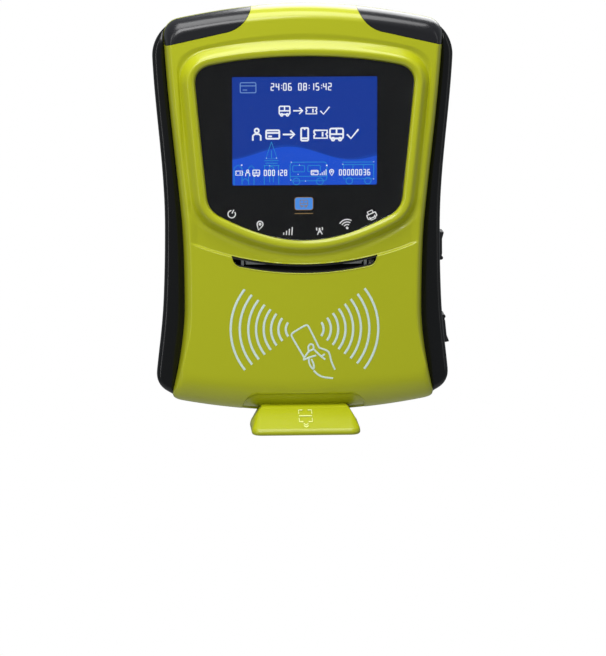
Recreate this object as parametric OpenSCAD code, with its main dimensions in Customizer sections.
// Ticket validator for a bus or tram pole: a moulded front cover with a display,
// a contactless reader, a ticket printer and a code scanner, on a rear housing
// that a two-part clamp holds to the pole.
// The pole's centre line is the Z axis, the origin is the middle of the clamp,
// and the display faces -Y.

/* [Cover outline] */
// Height of the cover's top edge above the clamp's middle
cover_top = 148; // [146:0.5:150]
// Depth of the cover's bottom edge below the clamp's middle
cover_foot = 142.5; // [141:0.5:144]
// Half of the cover's width at its shoulders
cover_shoulder = 98; // [97:0.5:98.5]
// Half of the cover's width at its waist
cover_waist = 84.2; // [83:0.5:85]
// Half of the cover's width at its foot
cover_flare = 93; // [92:0.5:94]

/* [Rear housing outline] */
// Half of the housing's width at its shoulders
rail_shoulder = 106; // [105:0.5:108]
// Half of the housing's width at its waist
rail_waist = 97.8; // [97.5:0.1:98]
// Half of the housing's width at its foot
rail_flare = 104.2; // [104:0.1:105]
// Thickness of the moulded walls
wall = 2.6; // [2.2:0.1:3]

/* [Display] */
// Width of the display's picture
picture_w = 101.6; // [95:0.1:104]
// Height of the display's picture
picture_h = 76.2; // [72:0.1:78]
// Height of the picture's centre above the clamp's middle
picture_z = 60; // [58:0.5:61]
// Thickness of the clear window
window_t = 2; // [1.5:0.1:2]

/* [Ticket slot] */
// Half of the slot's width
slot_half = 51.4; // [45:0.1:54]
// Radius of the slot's curve
slot_r = 213; // [200:1:240]
// Height of the slot's opening
slot_h = 6.4; // [6:0.1:7]
// Level of the slot's upper edge at its middle
slot_z = -34.6; // [-35:0.1:-34]

/* [Pole clamp] */
// Outside diameter of the pole
pole_d = 40; // [38:0.5:42]
// Thickness of the rubber liners
liner_t = 3; // [2:0.5:4]
// Height of the clamp along the pole
clamp_h = 56; // [50:1:60]
// Gap between the clamp's two halves
clamp_gap = 1.5; // [1:0.5:3]

/* [Printer] */
// Outside diameter of the paper roll
roll_d = 48; // [40:1:50]
// Width of the paper
paper_w = 80; // [57:1:80]
// Radius of the platen's rubber
platen_r = 6; // [5:0.1:6]
// Size of the gear teeth: pitch diameter over number of teeth
gear_m = 0.8; // [0.7:0.1:0.8]

/* [Hidden] */
$fn = 64;

// Depths along Y, from the pole forwards.
pole_r = pole_d / 2;
saddle_r = pole_r + liner_t;
round_y = -60;
plate_back = -(saddle_r + 10);
plate_t = 3;
back_y = plate_back - plate_t;
seat_y = -99.7;
rim_y = -100.5;
face_y = -117;
ridge_y = -124.5;
window_y = -121.5;
ledge_y = window_y + window_t;
crown = 3;

// ---------------------------------------------------------------- curves
function bezier(a, b, c, d, t) =
    a * pow(1 - t, 3) + 3 * b * t * pow(1 - t, 2) + 3 * c * t * t * (1 - t) + d * pow(t, 3);

// Samples taken on each of the seven stretches from the top's middle to the foot's middle:
// top edge, top corner, upper side, middle side, lower side, bottom corner, bottom edge.
SAMPLES = [8, 6, 8, 4, 6, 5, 7];

function right_half(c) = [for (s = [0:len(SAMPLES) - 1]) for (k = [0:SAMPLES[s] - 1])
    bezier(c[3 * s], c[3 * s + 1], c[3 * s + 2], c[3 * s + 3], k / SAMPLES[s])];

// A closed loop in X and Z, from the top's middle round by +X, the foot and -X.
function loop(c) = let (h = right_half(c), m = len(h))
    concat(h, [c[len(c) - 1]], [for (i = [m - 1:-1:1]) [-h[i][0], h[i][1]]]);

function inward(p, i) = let (n = len(p), t = p[(i + 1) % n] - p[(i + n - 1) % n])
    [t[1], -t[0]] / norm(t);

// The loop moved inwards by d, and by top or foot times d more where it faces up or down.
function inset(p, d, top = 0, foot = 0) = [for (i = [0:len(p) - 1]) let (n = inward(p, i))
    p[i] + n * d * (1 + top * max(0, -n[1]) + foot * max(0, n[1]))];

function between(p, q, f) = [for (i = [0:len(p) - 1]) p[i] + (q[i] - p[i]) * f];

function ring(p, y) = [for (q = p) [q[0], y, q[1]]];

COVER = loop([
    [0, cover_top], [30, cover_top], [60, cover_top - 4.2], [88, cover_top - 10],
    [93.5, cover_top - 11.2], [cover_shoulder - 0.4, cover_top - 15.5], [cover_shoulder, 127],
    [cover_shoulder - 2.2, 83], [cover_waist + 5.7, 39], [cover_waist + 1.7, -5],
    [cover_waist + 0.2, -25], [cover_waist, -46], [cover_waist, -66],
    [cover_waist, -86], [cover_flare - 4.2, -112], [cover_flare, -128],
    [cover_flare + 1, -131.8], [91, -133.2], [86, 8.3 - cover_foot],
    [58, 3 - cover_foot], [28, -cover_foot], [0, -cover_foot]]);

FLANGE = loop([
    [0, cover_top + 0.4], [30, cover_top + 0.4], [60, cover_top - 3.8], [88, cover_top - 9.6],
    [96, cover_top - 11.2], [rail_shoulder - 0.6, 128], [rail_shoulder, 112],
    [rail_shoulder - 1.6, 73], [rail_waist + 0.2, 34], [rail_waist, -5],
    [rail_waist, -25], [rail_waist + 0.4, -46], [rail_waist + 1.5, -66],
    [rail_waist + 2.6, -84], [rail_flare - 1.4, -100], [rail_flare, -114],
    [rail_flare + 0.8, -126], [98, -132.5], [86.5, 7.9 - cover_foot],
    [58, 2.6 - cover_foot], [28, -0.4 - cover_foot], [0, -0.4 - cover_foot]]);

HOUSING = loop([
    [0, cover_top - 9.5], [30, cover_top - 9.5], [60, cover_top - 12.5], [84, cover_top - 16],
    [96, cover_top - 18], [rail_shoulder - 0.4, 126], [rail_shoulder, 112],
    [rail_shoulder - 1.6, 73], [rail_waist + 0.2, 34], [rail_waist, -5],
    [rail_waist, -25], [rail_waist + 0.4, -46], [rail_waist + 1.5, -66],
    [rail_waist + 2.6, -84], [rail_flare - 1.4, -100], [rail_flare, -114],
    [rail_flare + 0.8, -123], [99, -128.5], [90, -129.8],
    [60, -132], [28, -133.5], [0, -133.5]]);

WINDOW = loop([
    [0, 112.7], [26, 112.7], [50, 110], [66, 106.6],
    [73, 105], [77.2, 100.5], [76.8, 93],
    [75.6, 79], [74, 63], [72.8, 51],
    [71.8, 40], [70.8, 31], [70, 23],
    [69.6, 20], [69.4, 17.5], [69.2, 15],
    [68.8, 9], [66.5, 4.5], [61.5, 1],
    [42, -9.4], [22, -17.3], [0, -17.3]]);

// The front edge of the cover, where its rounded sides reach the face.
FACE = loop([
    [0, cover_top - 9.5], [30, cover_top - 9.5], [58, cover_top - 13.7], [82, cover_top - 19],
    [89, cover_top - 20.7], [cover_shoulder - 6, 123], [cover_shoulder - 5.6, 117.5],
    [cover_shoulder - 7.8, 78], [cover_waist + 0.2, 37], [cover_waist - 3.8, -5],
    [cover_waist - 5.2, -25], [cover_waist - 5.4, -46], [cover_waist - 5.4, -66],
    [cover_waist - 5.4, -82], [cover_flare - 10, -96], [cover_flare - 6.7, -111],
    [cover_flare - 5.5, -115], [84.5, -117], [79.5, 24.3 - cover_foot],
    [54, 19.5 - cover_foot], [26, 16.5 - cover_foot], [0, 16.5 - cover_foot]]);

// The flat of the rear housing's back.
BACK = [for (q = HOUSING) [q[0] * 0.83, q[1] * 0.88]];

// The opening in the rear housing's front.
OPENING = loop([
    [0, 136], [30, 136], [56, 132.5], [82, 127.5],
    [89, 126], [93, 121], [93, 112],
    [91, 78], [85, 39], [cover_waist - 3, -5],
    [cover_waist - 4.5, -25], [cover_waist - 4.7, -46], [cover_waist - 4.7, -66],
    [cover_waist - 4.7, -84], [82.5, -101], [85.5, -113],
    [86.5, -119], [83, -123.5], [76, -125],
    [54, -128.5], [28, -131], [0, -131]]);

// ---------------------------------------------------------------- solids from rings
function band(j, n) = [for (i = [0:n - 1]) let (a = j * n + i, b = j * n + (i + 1) % n)
    each [[a, b, b + n], [a, b + n, a + n]]];

// A solid whose skin runs through every ring and back to the first.
module ring_solid(rings) {
    n = len(rings[0]);
    m = len(rings);
    points = [for (r = rings) each r];
    faces = [for (j = [0:m - 2]) each band(j, n)];
    last = [for (i = [0:n - 1]) let (a = (m - 1) * n + i, b = (m - 1) * n + (i + 1) % n)
        each [[a, b, (i + 1) % n], [a, (i + 1) % n, i]]];
    polyhedron(points = points, faces = concat(faces, last), convexity = 8);
}

// Extrudes an outline in X and Z forwards from y_back by t.
module sheet(y_back, t) {
    translate([0, y_back, 0]) rotate([90, 0, 0]) linear_extrude(t) children();
}

// Extrudes an outline in Y and Z along X from x by t.
module slab(x, t) {
    translate([x, 0, 0]) rotate([90, 0, 90]) linear_extrude(t) children();
}

module rod_x(x, y, z, r, l) {
    translate([x, y, z]) rotate([0, 90, 0]) cylinder(r = r, h = l);
}

module rod_y(x, y, z, r, l) {
    translate([x, y, z]) rotate([-90, 0, 0]) cylinder(r = r, h = l);
}

module block(x, y, z) {
    translate([x[0], y[0], z[0]]) cube([x[1] - x[0], y[1] - y[0], z[1] - z[0]]);
}

module round_rect(w, h, r) {
    hull() for (x = [-1, 1], z = [-1, 1])
        translate([x * (w / 2 - r), z * (h / 2 - r)]) circle(r = r, $fn = 32);
}

// ---------------------------------------------------------------- front cover
function foot_ring() = [for (q = inset(WINDOW, -11))
    [q[0], face_y - crown * (1 - pow(q[0] / cover_waist, 2)), q[1]]];

// The cover's rounded side: a ring at each angle from its rim to its face, d inside the skin.
function side_ring(angle, d) =
    ring(between(inset(COVER, d), inset(FACE, d), 1 - cos(angle)), rim_y + (face_y + d - rim_y) * sin(angle));

cover_rings = concat(
    [for (k = [0:5]) side_ring(18 * k, 0)],
    [foot_ring(),
        ring(inset(WINDOW, -7.5), ridge_y + 1),
        ring(inset(WINDOW, -4), ridge_y),
        ring(inset(WINDOW, -1), ridge_y + 0.6),
        ring(WINDOW, window_y - 1),
        ring(WINDOW, ledge_y),
        ring(inset(WINDOW, 3), ledge_y),
        ring(inset(WINDOW, 3), face_y)],
    [for (k = [5:-1:0]) side_ring(18 * k, wall)]);

module cover_shell() {
    ring_solid(cover_rings);
}

// The corner of the cover that a shoulder cap fills, seen from the front.
module cap_outline(side) {
    edge = [for (k = [0:6]) bezier([36, 149], [38, 142], [43, 131], [56.5, 128.8], k / 6)];
    outline = concat(edge, [[110, 116.8], [110, 160], [36, 160]]);
    polygon([for (p = outline) [side * p[0], p[1]]]);
}

cap_y = -103.2;

module cap_block(side, gap = 0) {
    sheet(cap_y + gap, 32) translate([-side * gap, -gap]) cap_outline(side);
}

module slot_outline() {
    intersection() {
        difference() {
            translate([0, slot_z + slot_r]) circle(r = slot_r + slot_h, $fn = 256);
            translate([0, slot_z + slot_r]) circle(r = slot_r, $fn = 256);
        }
        translate([-slot_half, slot_z - 20]) square([2 * slot_half, 30]);
    }
}

FLANGE_SCREWS = [[-50, 139.7], [0, 142.7], [50, 139.7], [-55, -135], [55, -135]];

module front_cover() color([0.69, 0.75, 0.12]) {
    difference() {
        union() {
            cover_shell();
            for (p = FLANGE_SCREWS) rod_y(p[0], -107, p[1], 3.1, 107 + rim_y);
        }
        for (side = [-1, 1]) cap_block(side, 0.1);
        sheet(-106, 24) slot_outline();
        hood_body(0.25);
        for (p = FLANGE_SCREWS) rod_y(p[0], -105.5, p[1], 1.55, 6);
    }
}

module shoulder_cap(side) color([0.13, 0.13, 0.15]) {
    intersection() {
        cover_shell();
        cap_block(side);
    }
}

module left_shoulder_cap() shoulder_cap(-1);
module right_shoulder_cap() shoulder_cap(1);

// ---------------------------------------------------------------- display and indicators
module display_window() color([0.09, 0.09, 0.1]) {
    sheet(ledge_y - 0.05, window_t) polygon(inset(WINDOW, 0.25));
}

module picture_frame(w, h, w_in, h_in) {
    translate([0, picture_z]) difference() {
        square([w, h], center = true);
        square([w_in, h_in], center = true);
    }
}

// The black film behind the window, cut out for the picture.
module window_mask() color([0.05, 0.05, 0.06]) {
    sheet(ledge_y + 0.25, 0.2) difference() {
        polygon(inset(WINDOW, 3.3));
        translate([0, picture_z]) square([picture_w, picture_h], center = true);
    }
}

module display_gasket() color([0.2, 0.2, 0.2]) {
    sheet(ledge_y + 1.05, 0.75) picture_frame(picture_w + 10, picture_h + 9, picture_w + 3, picture_h + 3);
}

module display_frame() color([0.75, 0.76, 0.78]) {
    difference() {
        sheet(ledge_y + 8.5, 7.4) picture_frame(picture_w + 12, picture_h + 10, 1, 1);
        sheet(ledge_y + 3.8, 4) translate([0, picture_z]) square([picture_w + 6, picture_h + 6], center = true);
        for (x = [-50, 50], z = [26, 94]) rod_y(x, ledge_y + 5, z, 1.3, 5);
    }
}

module display_glass() color([0.05, 0.13, 0.45]) {
    sheet(ledge_y + 3.7, 2.55) translate([0, picture_z]) square([picture_w + 5.4, picture_h + 5.4], center = true);
}

// Indicator places: half of a symmetric row, under the picture.
INDICATORS = [[-49.5, 1.5], [-31, -6], [-11, -10], [11, -10], [31, -6], [49.5, 1.5]];

module indicator_board() color([0.1, 0.35, 0.18]) {
    sheet(face_y + 2.2, 1.6) intersection() {
        polygon(inset(WINDOW, 4));
        translate([-60, -20]) square([120, 31]);
    }
}

module indicator_leds() color([0.95, 0.95, 0.85]) {
    for (p = INDICATORS)
        block([p[0] - 1.5, p[0] + 1.5], [face_y - 0.6, face_y + 0.6], [p[1] - 0.8, p[1] + 0.8]);
}

// ---------------------------------------------------------------- reader antenna and main board
module antenna_board() color([0.1, 0.35, 0.18]) {
    sheet(-110.6, 1.6) translate([0, -84]) square([110, 60], center = true);
}

module antenna_coil() color([0.8, 0.5, 0.25]) {
    for (k = [0:3]) sheet(-112.22, 0.2) translate([0, -84]) difference() {
        square([104 - 5 * k, 54 - 5 * k], center = true);
        square([102.4 - 5 * k, 52.4 - 5 * k], center = true);
    }
}

board_y = -102.4;

module main_board() color([0.08, 0.3, 0.2]) {
    difference() {
        sheet(board_y, 1.6) translate([0, 62]) square([144, 104], center = true);
        for (x = [-50, 50], z = [26, 94]) rod_y(x, board_y - 3, z, 1.6, 5);
    }
}

module main_board_chips() color([0.12, 0.12, 0.12]) {
    for (c = [[-20, 72, 18], [14, 78, 14], [36, 60, 12], [-44, 50, 10], [44, 84, 9]])
        block([c[0] - c[2] / 2, c[0] + c[2] / 2], [board_y + 0.05, board_y + 2], [c[1] - c[2] / 2, c[1] + c[2] / 2]);
    for (k = [0:3]) block([-66, -56], [board_y + 0.05, board_y + 6], [16 + 11 * k, 24 + 11 * k]);
    for (k = [0:2]) rod_y(58, board_y + 0.05, 24 + 12 * k, 4, 11);
}

module heat_sink() color([0.7, 0.71, 0.73]) {
    block([-28, -12], [board_y + 2.1, board_y + 4], [64, 80]);
    for (k = [0:4]) block([-28 + 3.75 * k, -27 + 3.75 * k], [board_y + 3.5, board_y + 10], [64, 80]);
}

module board_standoffs() color([0.8, 0.68, 0.35]) {
    for (x = [-50, 50], z = [26, 94]) {
        translate([x, ledge_y + 8.6, z]) rotate([-90, 0, 0]) cylinder(r = 2.9, h = board_y - 1.7 - ledge_y - 8.6, $fn = 6);
        rod_y(x, ledge_y + 5.6, z, 1.2, 3.2);
        rod_y(x, board_y - 1.9, z, 1.5, 2.6);
        rod_y(x, board_y + 0.1, z, 2.8, 1.6);
    }
}

// ---------------------------------------------------------------- scanner
hood_half = 38.4;
hood_front = -142.5;
hood_foot = -153;

module hood_body(grow = 0) {
    hull() {
        for (x = [-1, 1], y = [hood_front + 7, rim_y - 8])
            translate([x * (hood_half - 7), y, hood_foot - grow])
                cylinder(r = 7 + grow, h = 4 + 2 * grow, $fn = 32);
        block([-30.5 - grow, 30.5 + grow], [-119 - grow, rim_y - 1 + grow], [-136 - grow, -131 + grow]);
    }
}

module scanner_hood() color([0.72, 0.78, 0.12]) {
    difference() {
        hood_body();
        hull() {
            block([-33, 33], [-137, -104], [hood_foot + 2.2, hood_foot + 4]);
            block([-27.5, 27.5], [-116.5, -104], [-139, -133.4]);
        }
        block([-27, 27], [-137.3, -110.7], [hood_foot - 1, hood_foot + 3]);
        block([-26, 26], [-106, -98], [-147, -135]);
    }
}

module scanner_window() color([0.25, 0.07, 0.08, 0.7]) {
    block([-26.8, 26.8], [-137.1, -110.9], [hood_foot + 0.3, hood_foot + 2]);
}

module scan_engine() color([0.15, 0.15, 0.16]) {
    difference() {
        block([-12, 12], [-119, -106], [-148, -137.5]);
        translate([0, -113, -149]) cylinder(r = 4, h = 4);
    }
    for (x = [-19, 16]) block([x, x + 3], [-118, -110], [-149.5, -147.6]);
    block([-22, 22], [-118, -107], [-147.7, -146.2]);
}

// ---------------------------------------------------------------- rear housing
// How far the side rails bulge forwards, by how far the flange stands out of the cover.
function rail_bulge(i) = 1.8 * min(1, max(0, norm(FLANGE[i] - COVER[i]) - 3) / 5);

function rail_ring(f, k) = let (p = between(FLANGE, COVER, f))
    [for (i = [0:len(p) - 1]) [p[i][0], seat_y - k * rail_bulge(i), p[i][1]]];

// The housing's side at an angle from where it starts to round (0) to its back (90), d inside the skin.
function back_ring(angle, d) =
    ring(inset(between(HOUSING, BACK, 0.08 + 0.92 * (1 - cos(angle))), d), round_y + (back_y - d - round_y) * sin(angle));

housing_rings = concat(
    [ring(inset(BACK, 9), back_y)],
    [for (k = [5:-1:0]) back_ring(18 * k, 0)],
    [ring(HOUSING, -88),
        ring(inset(HOUSING, 0.3), -95),
        ring(FLANGE, -95),
        ring(between(FLANGE, COVER, 0.1), -98.4),
        rail_ring(0.35, 0.85),
        rail_ring(0.6, 0.9),
        rail_ring(0.9, 0.3),
        ring(COVER, seat_y),
        ring(OPENING, seat_y),
        ring(OPENING, -95.6),
        ring(inset(HOUSING, 3.4), -91.5),
        ring(inset(HOUSING, 3.1), -88)],
    [for (k = [0:5]) back_ring(18 * k, 3)],
    [ring(inset(BACK, 9), back_y - 3)]);

module housing_shell() {
    ring_solid(housing_rings);
    sheet(back_y, 3) polygon(inset(BACK, 6));
}

PLATE_SCREWS = [[-35, 52], [35, 52], [-35, -34], [35, -34]];
FRAME_SCREWS = [[-51, -26], [-51, -40], [51, -26], [51, -40]];
door_x = 49;
door_y = [-93, -52];
hinge_y = -49;
hinge_z = -132.4;
hinge_r = 2.5;
pin_r = 1.25;
door_knuckle_x = 21.8;
fixed_knuckle_x = 36;

module door_block(grow = 0) {
    block([-door_x - grow, door_x + grow], [door_y[0] - grow, door_y[1] + grow], [-150, -120]);
}

// A knuckle of the door's hinge between x0 and x1, with an arm over the stretch arm of Y, arm_h high.
module knuckle(x0, x1, arm, arm_h) {
    difference() {
        union() {
            rod_x(x0, hinge_y, hinge_z, hinge_r, x1 - x0);
            block([x0, x1], arm, [hinge_z, hinge_z + arm_h]);
        }
        rod_x(x0 - 1, hinge_y, hinge_z, pin_r + 0.06, x1 - x0 + 2);
    }
}

socket_x = -73;
socket_y = -74;

module rear_housing() color([0.07, 0.07, 0.08]) {
    difference() {
        union() {
            housing_shell();
            for (p = PLATE_SCREWS) rod_y(p[0], back_y - 11, p[1], 5, 10);
        }
        door_block(0.4);
        for (s = [-1, 1]) block([s * door_knuckle_x - 8.2, s * door_knuckle_x + 8.2], [-52.5, -45.4], [-140, -120]);
        for (p = FLANGE_SCREWS) rod_y(p[0], -102, p[1], 1.7, 9);
        for (p = PLATE_SCREWS) rod_y(p[0], back_y - 10, p[1], 2.05, 12);
        for (p = FRAME_SCREWS) rod_y(p[0], back_y - 4, p[1], 1.55, 3.6);
        translate([socket_x, socket_y, -140]) cylinder(r = 7.2, h = 20);
        rod_x(80, button_y, button_z, button_r + 0.05, 30);
        for (p = PORTS) port_frame(p) block([-14, 8], [-8.4, 8.4], [-1.8, 18]);
        for (k = [-3:3]) sheet(back_y + 1, 6) translate([-14, 98 + 5 * k]) square([28, 2.4]);
    }
    for (s = [-1, 1]) knuckle(s * fixed_knuckle_x - 5.6, s * fixed_knuckle_x + 5.6, [hinge_y - 1, hinge_y + 5], 6.2);
}

module housing_seal() color([0.1, 0.1, 0.1]) {
    sheet(seat_y - 0.05, 0.7) difference() {
        polygon(inset(COVER, 0.4));
        polygon(inset(COVER, 2.1));
    }
}

// Screws along Y: the head stands towards +Y from y_head, or towards -Y when way is -1.
module screw_y(x, y_head, z, r, l, head_r, head_h, way = 1) {
    translate([x, y_head, z]) rotate([way > 0 ? -90 : 90, 0, 0]) difference() {
        union() {
            translate([0, 0, -l]) cylinder(r = r, h = l + head_h);
            cylinder(r = head_r, h = head_h);
        }
        translate([0, 0, head_h * 0.4]) cylinder(r = head_r * 0.5, h = head_h, $fn = 6);
    }
}

module housing_screws() color([0.6, 0.6, 0.62]) {
    for (p = FLANGE_SCREWS) screw_y(p[0], -94.9, p[1], 1.5, 10, 2.8, 1.8);
}

// ---------------------------------------------------------------- mounting plate and pole clamp
plate_z = 9;
ear_x = 34;
ear_z = 18;
foot_x = 37;
foot_z = 20;

module mount_plate() color([0.12, 0.12, 0.13]) {
    difference() {
        sheet(plate_back - 0.05, plate_t - 0.1) translate([0, plate_z]) round_rect(92, 104, 8);
        for (p = PLATE_SCREWS) rod_y(p[0], back_y - 1, p[1], 2.2, plate_t + 2);
        for (x = [-foot_x, foot_x], z = [-foot_z, foot_z]) rod_y(x, back_y - 1, z, 2.55, plate_t + 2);
    }
}

module plate_screws() color([0.6, 0.6, 0.62]) {
    for (p = PLATE_SCREWS) screw_y(p[0], plate_back, p[1], 2, 11, 3.6, 2.4);
}

module saddle_screws() color([0.6, 0.6, 0.62]) {
    for (x = [-foot_x, foot_x], z = [-foot_z, foot_z]) screw_y(x, plate_back + 5.05, z, 2.5, 7.8, 4.2, 3);
}

module half_ring(r_in, r_out, h, side) {
    rotate([0, 0, side > 0 ? 0 : 180]) rotate_extrude(angle = 180) translate([r_in, -h / 2]) square([r_out - r_in, h]);
}

module pole_saddle() color([0.1, 0.1, 0.11]) {
    difference() {
        union() {
            block([-27, 27], [plate_back, -clamp_gap / 2], [-clamp_h / 2, clamp_h / 2]);
            block([-43, 43], [-11, -clamp_gap / 2], [-clamp_h / 2, clamp_h / 2]);
            block([-44, 44], [plate_back, plate_back + 5], [-clamp_h / 2, clamp_h / 2]);
        }
        cylinder(r = saddle_r, h = clamp_h + 2, center = true);
        for (x = [-ear_x, ear_x], z = [-ear_z, ear_z]) rod_y(x, -12, z, 3.1, 13);
        for (x = [-foot_x, foot_x], z = [-foot_z, foot_z]) rod_y(x, plate_back - 1, z, 2.55, 7);
    }
}

module pole_strap() color([0.1, 0.1, 0.11]) {
    difference() {
        union() {
            half_ring(saddle_r - 1, saddle_r + 6, clamp_h, 1);
            block([-43, 43], [0, 11], [-clamp_h / 2, clamp_h / 2]);
        }
        cylinder(r = saddle_r, h = clamp_h + 2, center = true);
        block([-60, 60], [-1, clamp_gap / 2], [-clamp_h, clamp_h]);
        for (x = [-ear_x, ear_x], z = [-ear_z, ear_z]) rod_y(x, -1, z, 3.1, 13);
    }
}

module liner(side) color([0.16, 0.16, 0.16]) {
    difference() {
        half_ring(pole_r, saddle_r - 0.02, clamp_h - 4, side);
        block([-60, 60], [-clamp_gap / 2, clamp_gap / 2], [-clamp_h, clamp_h]);
    }
}

module saddle_liner() liner(-1);
module strap_liner() liner(1);

module clamp_bolts() color([0.62, 0.62, 0.64]) {
    for (x = [-ear_x, ear_x], z = [-ear_z, ear_z]) {
        screw_y(x, 11, z, 3, 28, 5, 5);
        difference() {
            translate([x, -11, z]) rotate([90, 0, 0]) cylinder(r = 5.6, h = 5, $fn = 6);
            rod_y(x, -18, z, 2.9, 8);
        }
    }
}

// ---------------------------------------------------------------- power socket and speaker
socket_foot = -133.8;

module power_socket() color([0.2, 0.2, 0.21]) {
    translate([socket_x, socket_y, socket_foot]) difference() {
        union() {
            cylinder(r = 7.1, h = 16);
            cylinder(r = 10, h = 2.2);
        }
        translate([0, 0, -1]) cylinder(r = 5.2, h = 13);
    }
}

PIN_RING = 2.6;

module power_socket_pins() color([0.85, 0.7, 0.35]) {
    for (k = [0:3]) translate([socket_x, socket_y, socket_foot]) rotate([0, 0, 45 + 90 * k])
        translate([PIN_RING, 0, 7]) cylinder(r = 0.6, h = 5);
}

module speaker() color([0.3, 0.3, 0.32]) {
    difference() {
        union() {
            rod_y(0, -45, 99, 20, 5.6);
            rod_y(0, -52, 99, 11, 8);
        }
        translate([0, -39.4 + 0.1, 99]) rotate([90, 0, 0]) cylinder(r1 = 17, r2 = 6, h = 4);
    }
}

// ---------------------------------------------------------------- side ports and button
button_r = 4.7;
button_y = -78;
button_z = -56.5;
button_end = 98.4;
board_x = 83.4;
board_t = 1.6;

// Each port: its hinge's X and Z, the lean of the wall in degrees, and 1 for a flap
// that stands above its hinge or -1 for one that hangs below it.
UPPER_PORT = [99.8, -35.2, 0.8, 1];
LOWER_PORT = [101.9, -77.7, 6.2, -1];
PORTS = [UPPER_PORT, LOWER_PORT];
port_y = -80;
flap_len = 18.8;
hook_r = 1.2;
peg_r = 0.8;

// A port's own frame, with its origin on the hinge: X out of the wall, Y along it,
// Z from the hinge to the flap's free end. The wall's skin is at X = -1.6.
module port_frame(p) {
    translate([p[0], port_y, p[1]]) rotate([0, -p[2], 0]) mirror([0, 0, p[3] > 0 ? 0 : 1]) children();
}

module peg(y0, y1, r) {
    translate([0, y0, 0]) rotate([-90, 0, 0]) cylinder(r = r, h = y1 - y0);
}

module flap(p) color([0.12, 0.12, 0.13]) {
    port_frame(p) {
        peg(-8, 8, peg_r);
        peg(-5.5, 5.5, hook_r);
        block([-1.2, 0.8], [-5.5, 5.5], [0, 3]);
        block([-1.3, 0.8], [-8.6, 8.6], [2.2, flap_len]);
        block([-2.9, -1.2], [-5.8, 5.8], [4.2, 16.2]);
        translate([0, 8.6, 0]) rotate([90, 0, 0]) linear_extrude(17.2)
            polygon([[0.7, flap_len], [2, flap_len], [0.7, flap_len - 5]]);
    }
}

module upper_port_flap() flap(UPPER_PORT);
module lower_port_flap() flap(LOWER_PORT);

module port_shrouds() color([0.16, 0.16, 0.17]) {
    for (p = PORTS) port_frame(p) difference() {
        union() {
            block([-9, -1.75], [-8.3, 8.3], [-1.7, 17.9]);
            for (s = [-1, 1]) {
                block([-2.5, 0], [s * 7.05 - 1.15, s * 7.05 + 1.15], [-1.4, 1.4]);
                peg(s * 7.05 - 1.15, s * 7.05 + 1.15, 1.4);
            }
        }
        block([-10, 0], [-6.3, 6.3], [3.7, 16.9]);
        block([-3.1, 2], [-5.8, 5.8], [-2, 3.8]);
        peg(-9, 9, peg_r + 0.06);
    }
}

module side_button() color([0.17, 0.17, 0.18]) {
    dome_h = 2.2;
    dome_r = (pow(button_r - 0.3, 2) + dome_h * dome_h) / (2 * dome_h);
    stem = button_end - 92.6;
    translate([92.6, button_y, button_z]) rotate([0, 90, 0]) rotate_extrude() {
        square([6.2, 1.9]);
        square([button_r, stem]);
        intersection() {
            translate([0, stem + dome_h - dome_r]) circle(r = dome_r);
            translate([0, stem - 0.2]) square([button_r, 4]);
        }
    }
}

module button_switch() color([0.2, 0.2, 0.2]) {
    block([board_x + board_t + 0.1, 89.2], [button_y - 3, button_y + 3], [button_z - 3, button_z + 3]);
    rod_x(89, button_y, button_z, 1.5, 2);
}

module io_board() color([0.1, 0.35, 0.18]) {
    difference() {
        block([board_x, board_x + board_t], [-92, -58], [-104, -8]);
        for (z = [-14, -98]) rod_x(board_x - 1, -63, z, 1.6, 4);
    }
}

module io_pillars() color([0.8, 0.68, 0.35]) {
    for (p = [[-14, 7.6], [-98, 11.2]]) {
        rod_x(board_x + board_t + 0.1, -63, p[0], 2.5, p[1]);
        rod_x(board_x - 1.4, -63, p[0], 1.5, 4);
    }
}

module usb_socket() color([0.75, 0.76, 0.78]) {
    difference() {
        block([board_x + board_t + 0.1, 92], [port_y - 1.8, port_y + 1.8], [-29.6, -20.2]);
        block([87, 93], [port_y - 1.3, port_y + 1.3], [-29.1, -20.7]);
    }
    block([86.5, 91], [port_y - 0.35, port_y + 0.35], [-28.2, -21.6]);
}

module card_socket() color([0.7, 0.71, 0.73]) {
    difference() {
        block([board_x + board_t + 0.1, 93], [port_y - 1.5, port_y + 1.5], [-94, -82.4]);
        block([87, 94], [port_y - 0.5, port_y + 0.5], [-93.3, -83.1]);
    }
}

// ---------------------------------------------------------------- ticket printer
platen_y = -104.5;
platen_z = -42;
platen_teeth = 22;
idler_teeth = 20;
pinion_teeth = 10;
gear_slack = 0.1;
idler_y = platen_y + gear_m * (platen_teeth + idler_teeth) / 2 + gear_slack;
pinion_lean = 30;
pinion_reach = gear_m * (idler_teeth + pinion_teeth) / 2 + gear_slack;
motor_y = idler_y + pinion_reach * cos(pinion_lean);
motor_z = platen_z + pinion_reach * sin(pinion_lean);
roll_y = -74;
roll_z = -92;
side_x = 42.5;
side_t = 2;
gear_x = side_x + side_t + 1.4;
gear_t = 4;
core_r = 6;

// A gear's outline: slim straight-sided teeth, the first one turned by phase.
module gear_outline(teeth, phase) {
    r = gear_m * teeth / 2;
    tip = r + 0.65;
    root = r - 1;
    half_tip = 0.26 / tip * 180 / PI;
    half_root = 0.6 / root * 180 / PI;
    polygon([for (k = [0:teeth - 1]) let (a = phase + 360 * k / teeth)
        each [for (q = [[root, -half_root], [tip, -half_tip], [tip, half_tip], [root, half_root]])
            q[0] * [cos(a + q[1]), sin(a + q[1])]]]);
}

module gear(y, z, teeth, phase, bore_r) {
    difference() {
        translate([0, y, z]) slab(gear_x, gear_t) gear_outline(teeth, phase);
        rod_x(gear_x - 1, y, z, bore_r, gear_t + 2);
    }
}

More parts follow.
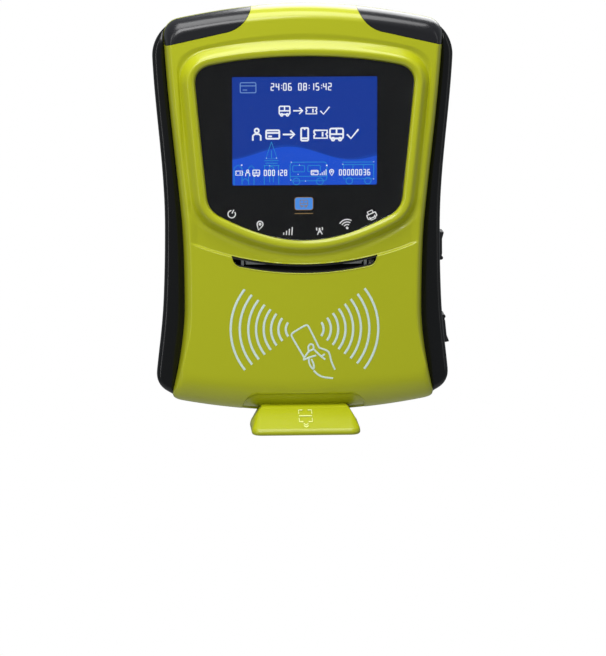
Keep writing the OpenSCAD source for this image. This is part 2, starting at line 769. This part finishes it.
module platen_gear() color([0.92, 0.92, 0.88]) gear(platen_y, platen_z, platen_teeth, 0, 2.5);
module idler_gear() color([0.92, 0.92, 0.88]) gear(idler_y, platen_z, idler_teeth, 9, 2);
module motor_pinion() color([0.85, 0.7, 0.35]) gear(motor_y, motor_z, pinion_teeth, 18, 1);

module side_plate(side) {
    slab(side > 0 ? side_x : -side_x - side_t, side_t) polygon([
        [-111.5, -24], [-100, -19], [-39.2, -19], [-39.2, -46], [-58, -60], [-58, -98],
        [-66, -104], [-80, -104], [-104, -60], [-111.5, -50]]);
    block(side > 0 ? [side_x, 55] : [-55, -side_x], [-41.4, -39.2], [-46, -19]);
    rod_x(side > 0 ? side_x - 7 : -side_x, roll_y, roll_z, core_r - 0.08, 7);
}

module printer_frame() color([0.72, 0.73, 0.75]) {
    difference() {
        union() {
            side_plate(1);
            side_plate(-1);
            block([-44.5, 44.5], [-113.4, -111.4], [-31.5, -24.5]);
            block([-44.5, 44.5], [-62, -59], [-62, -54]);
            rod_x(side_x, idler_y, platen_z, 1.94, gear_x + gear_t - side_x + 0.6);
        }
        rod_x(-50, platen_y, platen_z, 4.52, 100);
        rod_x(40, motor_y, motor_z, 3.1, 10);
        for (p = FRAME_SCREWS) rod_y(p[0], -43, p[1], 1.7, 5);
    }
}

module platen_bushes() color([0.8, 0.62, 0.3]) {
    for (x = [-side_x - side_t, side_x]) difference() {
        rod_x(x, platen_y, platen_z, 4.5, side_t);
        rod_x(x - 1, platen_y, platen_z, 2.55, side_t + 2);
    }
}

module frame_screws() color([0.6, 0.6, 0.62]) {
    for (p = FRAME_SCREWS) screw_y(p[0], -41.5, p[1], 1.5, 4.8, 2.8, 1.8, -1);
}

module platen_shaft() color([0.75, 0.76, 0.78]) {
    rod_x(-side_x - side_t - 1.5, platen_y, platen_z, 2.5, side_x + side_t + 1.5 + gear_x + gear_t);
}

module platen_rubber() color([0.14, 0.14, 0.14]) {
    difference() {
        rod_x(-paper_w / 2, platen_y, platen_z, platen_r, paper_w);
        rod_x(-paper_w / 2 - 1, platen_y, platen_z, 2.5, paper_w + 2);
    }
}

module print_head() color([0.6, 0.6, 0.6]) {
    block([-41, 41], [-109, -100], [platen_z + platen_r + 0.3, -31]);
    for (k = [0:3]) block([-41, 41], [-109 + 2.4 * k, -107.6 + 2.4 * k], [-31.5, -26]);
}

TEETH = 42;

module tear_bar() color([0.8, 0.81, 0.83]) {
    sheet(-113.5, 0.8) polygon(concat(
        [[TEETH, -26], [-TEETH, -26], [-TEETH, -32]],
        [for (k = [0:TEETH - 1]) each [[2 * k - TEETH + 1, -33.8], [2 * k - TEETH + 2, -32]]]));
}

module stepper_motor() color([0.55, 0.56, 0.58]) {
    difference() {
        union() {
            rod_x(side_x - 20.2, motor_y, motor_z, 14, 20);
            rod_x(side_x - 1, motor_y, motor_z, 3, side_t + 1);
        }
        rod_x(side_x - 21, motor_y, motor_z, 1.05, 30);
    }
}

module motor_shaft() color([0.8, 0.81, 0.83]) {
    rod_x(side_x - 20, motor_y, motor_z, 1, 20 + gear_x + gear_t - side_x);
}

module paper_core() color([0.6, 0.5, 0.38]) {
    difference() {
        rod_x(-paper_w / 2, roll_y, roll_z, core_r + 2.5, paper_w);
        rod_x(-paper_w / 2 - 1, roll_y, roll_z, core_r, paper_w + 2);
    }
}

module paper_roll() color([0.95, 0.95, 0.93]) {
    difference() {
        rod_x(-paper_w / 2, roll_y, roll_z, roll_d / 2, paper_w);
        rod_x(-paper_w / 2 - 1, roll_y, roll_z, core_r + 2.5, paper_w + 2);
    }
}

// ---------------------------------------------------------------- paper door
module paper_door() color([0.07, 0.07, 0.08]) {
    difference() {
        intersection() {
            housing_shell();
            door_block(0);
        }
        rod_x(-60, hinge_y, hinge_z, pin_r + 0.06, 120);
    }
    for (s = [-1, 1]) knuckle(s * door_knuckle_x - 7.8, s * door_knuckle_x + 7.8, [door_y[1] - 4, hinge_y], 4.4);
}

module door_pin() color([0.75, 0.76, 0.78]) {
    rod_x(-44, hinge_y, hinge_z, pin_r, 88);
}

front_cover();
left_shoulder_cap();
right_shoulder_cap();
display_window();
window_mask();
display_gasket();
display_frame();
display_glass();
indicator_board();
indicator_leds();
antenna_board();
antenna_coil();
main_board();
main_board_chips();
heat_sink();
board_standoffs();
scanner_hood();
scanner_window();
scan_engine();
rear_housing();
housing_seal();
housing_screws();
mount_plate();
plate_screws();
saddle_screws();
pole_saddle();
pole_strap();
saddle_liner();
strap_liner();
clamp_bolts();
power_socket();
power_socket_pins();
speaker();
upper_port_flap();
lower_port_flap();
port_shrouds();
side_button();
button_switch();
io_board();
io_pillars();
usb_socket();
card_socket();
printer_frame();
frame_screws();
platen_bushes();
platen_shaft();
platen_rubber();
platen_gear();
idler_gear();
motor_pinion();
motor_shaft();
stepper_motor();
print_head();
tear_bar();
paper_core();
paper_roll();
paper_door();
door_pin();
